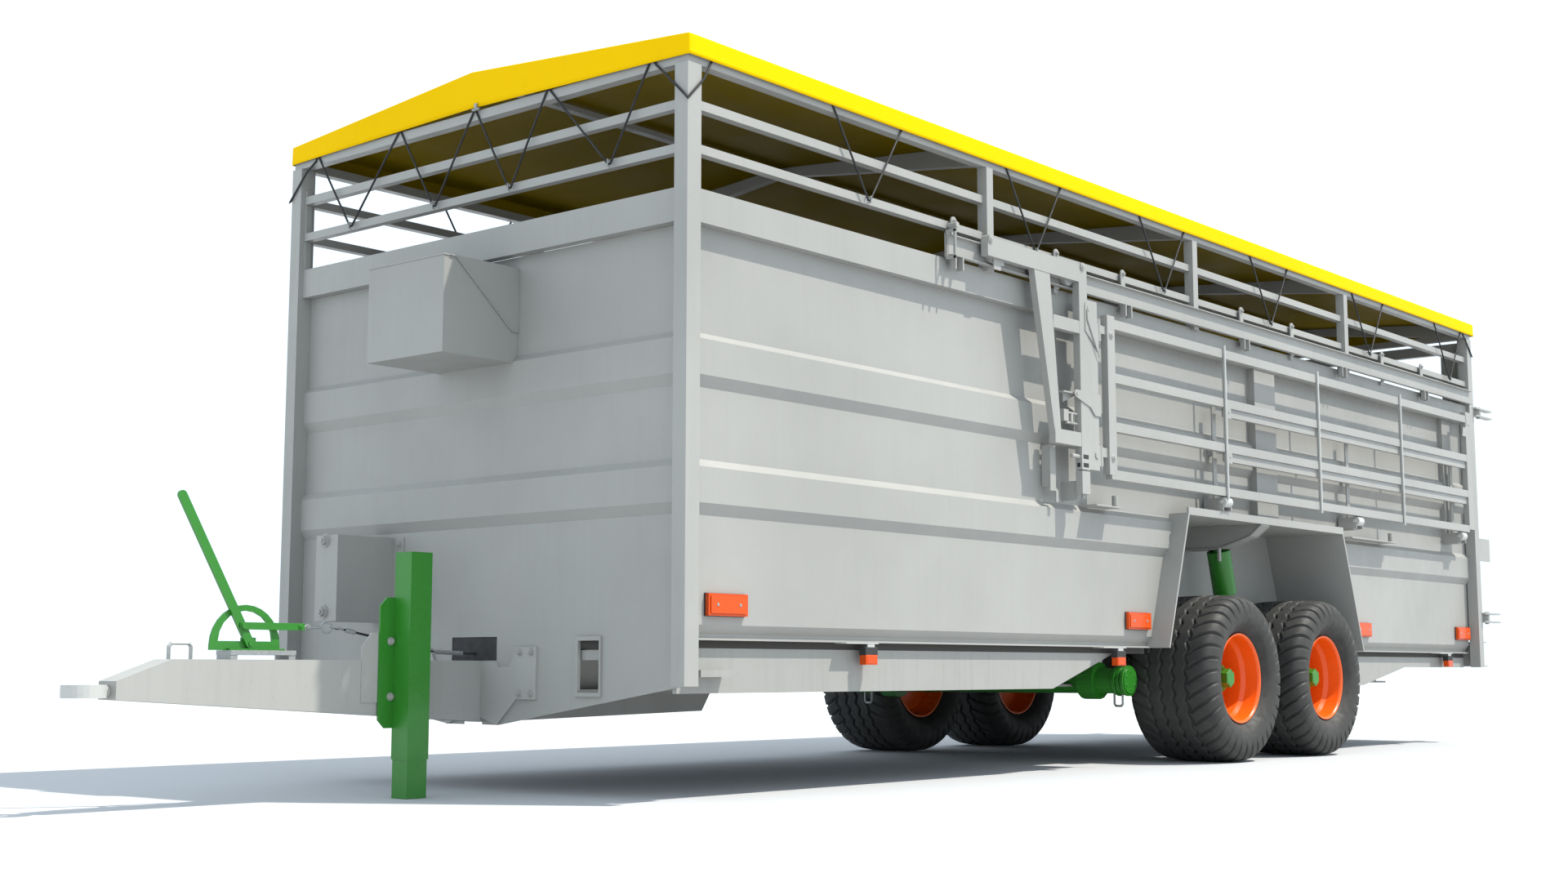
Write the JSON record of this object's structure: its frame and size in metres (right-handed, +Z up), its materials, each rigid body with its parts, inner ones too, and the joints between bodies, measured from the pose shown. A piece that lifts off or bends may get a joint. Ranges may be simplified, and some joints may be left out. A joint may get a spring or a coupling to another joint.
{
  "type": "livestock trailer",
  "caption": "Tandem-axle livestock trailer with ribbed steel walls, open upper slats, tarpaulin roof, drawbar with jack and brake lever, and a folding side gate.",
  "frame": {"origin": "on the ground, under the middle of the bounding box", "axes": "+Z up, +Y rearwards along the trailer, +X to its left"},
  "size_m": [2.544, 9.723, 2.905],
  "materials": {
    "bogie_rocker_left": "gloss green paint",
    "bogie_rocker_right": "gloss green paint",
    "brake_cable": "black sheathed cable",
    "brake_lever": "gloss green paint",
    "brake_link": "gloss green paint",
    "brake_quadrant": "gloss green paint",
    "brake_stand": "zinc plated",
    "chassis_frame": "satin light grey paint",
    "corner_post_front_left": "satin light grey paint",
    "corner_post_front_right": "satin light grey paint",
    "corner_post_rear_left": "satin light grey paint",
    "corner_post_rear_right": "satin light grey paint",
    "cylinder_barrel_left": "gloss green paint",
    "cylinder_barrel_right": "gloss green paint",
    "cylinder_rod_left": "gloss green paint",
    "cylinder_rod_right": "gloss green paint",
    "drawbar": "satin light grey paint",
    "drawbar_bracket_left": "satin light grey paint",
    "drawbar_bracket_right": "satin light grey paint",
    "drawbar_handle": "zinc plated",
    "floor_deck": "dark planked floor",
    "front_upper_frame": "satin light grey paint",
    "front_wall": "satin light grey paint",
    "gate_carriage": "satin light grey paint",
    "gate_extension": "satin light grey paint",
    "gate_panel": "satin light grey paint",
    "gate_track": "satin light grey paint",
    "hub_front_left": "gloss green paint",
    "hub_front_right": "gloss green paint",
    "hub_rear_left": "gloss green paint",
    "hub_rear_right": "gloss green paint",
    "jack_leg": "gloss green paint",
    "jack_tube": "gloss green paint",
    "left_upper_frame": "satin light grey paint",
    "left_wall": "satin light grey paint",
    "lower_box": "satin light grey paint",
    "pivot_tube": "gloss green paint",
    "rear_bumper": "satin light grey paint",
    "rear_door_left": "satin light grey paint",
    "rear_door_right": "satin light grey paint",
    "right_upper_frame": "satin light grey paint",
    "right_wall": "satin light grey paint",
    "rim_front_left": "gloss orange paint",
    "rim_front_right": "gloss orange paint",
    "rim_rear_left": "gloss orange paint",
    "rim_rear_right": "gloss orange paint",
    "roof_cover": "yellow coated tarpaulin",
    "roof_frame": "satin light grey paint",
    "roof_lacing": "black elastic cord",
    "suspension_arm_left": "gloss green paint",
    "suspension_arm_right": "gloss green paint",
    "toolbox": "satin light grey paint",
    "toolbox_lid": "satin light grey paint",
    "towing_eye": "white painted forging",
    "tyre_front_left": "matte rubber with a lug tread",
    "tyre_front_right": "matte rubber with a lug tread",
    "tyre_rear_left": "matte rubber with a lug tread",
    "tyre_rear_right": "matte rubber with a lug tread",
    "wheel_box_left": "satin light grey paint",
    "wheel_box_right": "satin light grey paint"
  },
  "bodies": {
    "trailer": {"brake_quadrant": "brake_quadrant", "brake_stand": "brake_stand", "chassis_frame": "chassis_frame", "corner_post_front_left": "corner_post_front_left", "corner_post_front_right": "corner_post_front_right", "corner_post_rear_left": "corner_post_rear_left", "corner_post_rear_right": "corner_post_rear_right", "drawbar": "drawbar", "drawbar_bracket_left": "drawbar_bracket_left", "drawbar_bracket_right": "drawbar_bracket_right", "drawbar_handle": "drawbar_handle", "floor_deck": "floor_deck", "front_upper_frame": "front_upper_frame", "front_wall": "front_wall", "gate_track": "gate_track", "jack_tube": "jack_tube", "left_upper_frame": "left_upper_frame", "left_wall": "left_wall", "lower_box": "lower_box", "pivot_tube": "pivot_tube", "rear_bumper": "rear_bumper", "right_upper_frame": "right_upper_frame", "right_wall": "right_wall", "roof_cover": "roof_cover", "roof_frame": "roof_frame", "roof_lacing": "roof_lacing", "toolbox": "toolbox", "towing_eye": "towing_eye", "wheel_box_left": "wheel_box_left", "wheel_box_right": "wheel_box_right"},
    "arm_left": {"suspension_arm_left": "suspension_arm_left"},
    "arm_right": {"suspension_arm_right": "suspension_arm_right"},
    "bogie_left": {"bogie_rocker_left": "bogie_rocker_left"},
    "bogie_right": {"bogie_rocker_right": "bogie_rocker_right"},
    "barrel_left": {"cylinder_barrel_left": "cylinder_barrel_left"},
    "barrel_right": {"cylinder_barrel_right": "cylinder_barrel_right"},
    "ram_left": {"cylinder_rod_left": "cylinder_rod_left"},
    "ram_right": {"cylinder_rod_right": "cylinder_rod_right"},
    "jack": {"jack_leg": "jack_leg"},
    "lever": {"brake_lever": "brake_lever"},
    "link": {"brake_link": "brake_link", "brake_cable": "brake_cable"},
    "lid": {"toolbox_lid": "toolbox_lid"},
    "carriage": {"gate_carriage": "gate_carriage"},
    "panel": {"gate_panel": "gate_panel"},
    "extension": {"gate_extension": "gate_extension"},
    "door_left": {"rear_door_left": "rear_door_left"},
    "door_right": {"rear_door_right": "rear_door_right"},
    "wheel_front_left": {"tyre_front_left": "tyre_front_left", "rim_front_left": "rim_front_left", "hub_front_left": "hub_front_left"},
    "wheel_front_right": {"tyre_front_right": "tyre_front_right", "rim_front_right": "rim_front_right", "hub_front_right": "hub_front_right"},
    "wheel_rear_left": {"tyre_rear_left": "tyre_rear_left", "rim_rear_left": "rim_rear_left", "hub_rear_left": "hub_rear_left"},
    "wheel_rear_right": {"tyre_rear_right": "tyre_rear_right", "rim_rear_right": "rim_rear_right", "hub_rear_right": "hub_rear_right"}
  },
  "joints": [
    {"name": "arm_left_swing", "type": "hinge", "parent": "trailer", "child": "arm_left", "pos_m": [0.645, 0.5215, 0.42], "axis": [1, 0, 0], "range_deg": [0, 7]},
    {"name": "bogie_left_tilt", "type": "hinge", "parent": "arm_left", "child": "bogie_left", "pos_m": [0.73, 1.5515, 0.433], "axis": [1, 0, 0], "range_deg": [-5, 5]},
    {"name": "wheel_front_left_spin", "type": "hinge", "parent": "bogie_left", "child": "wheel_front_left", "pos_m": [1.027, 1.0355, 0.433], "axis": [1, 0, 0], "continuous": true},
    {"name": "wheel_rear_left_spin", "type": "hinge", "parent": "bogie_left", "child": "wheel_rear_left", "pos_m": [1.027, 2.0675, 0.433], "axis": [1, 0, 0], "continuous": true},
    {"name": "barrel_left_tilt", "type": "hinge", "parent": "trailer", "child": "barrel_left", "pos_m": [0.95, 1.3515, 1.17], "axis": [1, 0, 0], "range_deg": [0, 2.2]},
    {"name": "ram_left_slide", "type": "slide", "parent": "barrel_left", "child": "ram_left", "axis": [0, 0.2619, -0.9651], "range_m": [-0.125, 0]},
    {"name": "arm_right_swing", "type": "hinge", "parent": "trailer", "child": "arm_right", "pos_m": [-0.645, 0.5215, 0.42], "axis": [1, 0, 0], "range_deg": [0, 7]},
    {"name": "bogie_right_tilt", "type": "hinge", "parent": "arm_right", "child": "bogie_right", "pos_m": [-0.73, 1.5515, 0.433], "axis": [1, 0, 0], "range_deg": [-5, 5]},
    {"name": "wheel_front_right_spin", "type": "hinge", "parent": "bogie_right", "child": "wheel_front_right", "pos_m": [-1.027, 1.0355, 0.433], "axis": [1, 0, 0], "continuous": true},
    {"name": "wheel_rear_right_spin", "type": "hinge", "parent": "bogie_right", "child": "wheel_rear_right", "pos_m": [-1.027, 2.0675, 0.433], "axis": [1, 0, 0], "continuous": true},
    {"name": "barrel_right_tilt", "type": "hinge", "parent": "trailer", "child": "barrel_right", "pos_m": [-0.95, 1.3515, 1.17], "axis": [1, 0, 0], "range_deg": [0, 2.2]},
    {"name": "ram_right_slide", "type": "slide", "parent": "barrel_right", "child": "ram_right", "axis": [0, 0.2619, -0.9651], "range_m": [-0.125, 0]},
    {"name": "jack_slide", "type": "slide", "parent": "trailer", "child": "jack", "axis": [0, 0, 1], "range_m": [0, 0.35]},
    {"name": "lever_swing", "type": "hinge", "parent": "trailer", "child": "lever", "pos_m": [0, -4.1585, 0.568], "axis": [1, 0, 0], "range_deg": [-25, 15]},
    {"name": "link_slide", "type": "slide", "parent": "trailer", "child": "link", "axis": [0, 1, 0], "range_m": [-0.017, 0.028]},
    {"name": "lid_swing", "type": "hinge", "parent": "trailer", "child": "lid", "pos_m": [0, -3.1835, 2.068], "axis": [1, 0, 0], "range_deg": [-80, 0]},
    {"name": "gate_slide", "type": "slide", "parent": "trailer", "child": "carriage", "axis": [0, 1, 0], "range_m": [0, 4.8]},
    {"name": "gate_swing", "type": "hinge", "parent": "carriage", "child": "panel", "pos_m": [1.254, -0.3885, 1.37], "axis": [0, 0, -1], "range_deg": [0, 90]},
    {"name": "extension_slide", "type": "slide", "parent": "panel", "child": "extension", "axis": [0, 1, 0], "range_m": [0, 1.5]},
    {"name": "door_left_swing", "type": "hinge", "parent": "trailer", "child": "door_left", "pos_m": [1.21, 4.6665, 0.7], "axis": [0, 0, -1], "range_deg": [0, 90]},
    {"name": "door_right_swing", "type": "hinge", "parent": "trailer", "child": "door_right", "pos_m": [-1.21, 4.6665, 0.7], "axis": [0, 0, 1], "range_deg": [0, 90]}
  ],
  "couplings": [
    {"joint": "barrel_left_tilt", "follows": "arm_left_swing", "ratio": 0.305},
    {"joint": "ram_left_slide", "follows": "arm_left_swing", "m_per_rad": -1.007},
    {"joint": "barrel_right_tilt", "follows": "arm_right_swing", "ratio": 0.305},
    {"joint": "ram_right_slide", "follows": "arm_right_swing", "m_per_rad": -1.007},
    {"joint": "link_slide", "follows": "lever_swing", "m_per_rad": -0.064}
  ]
}
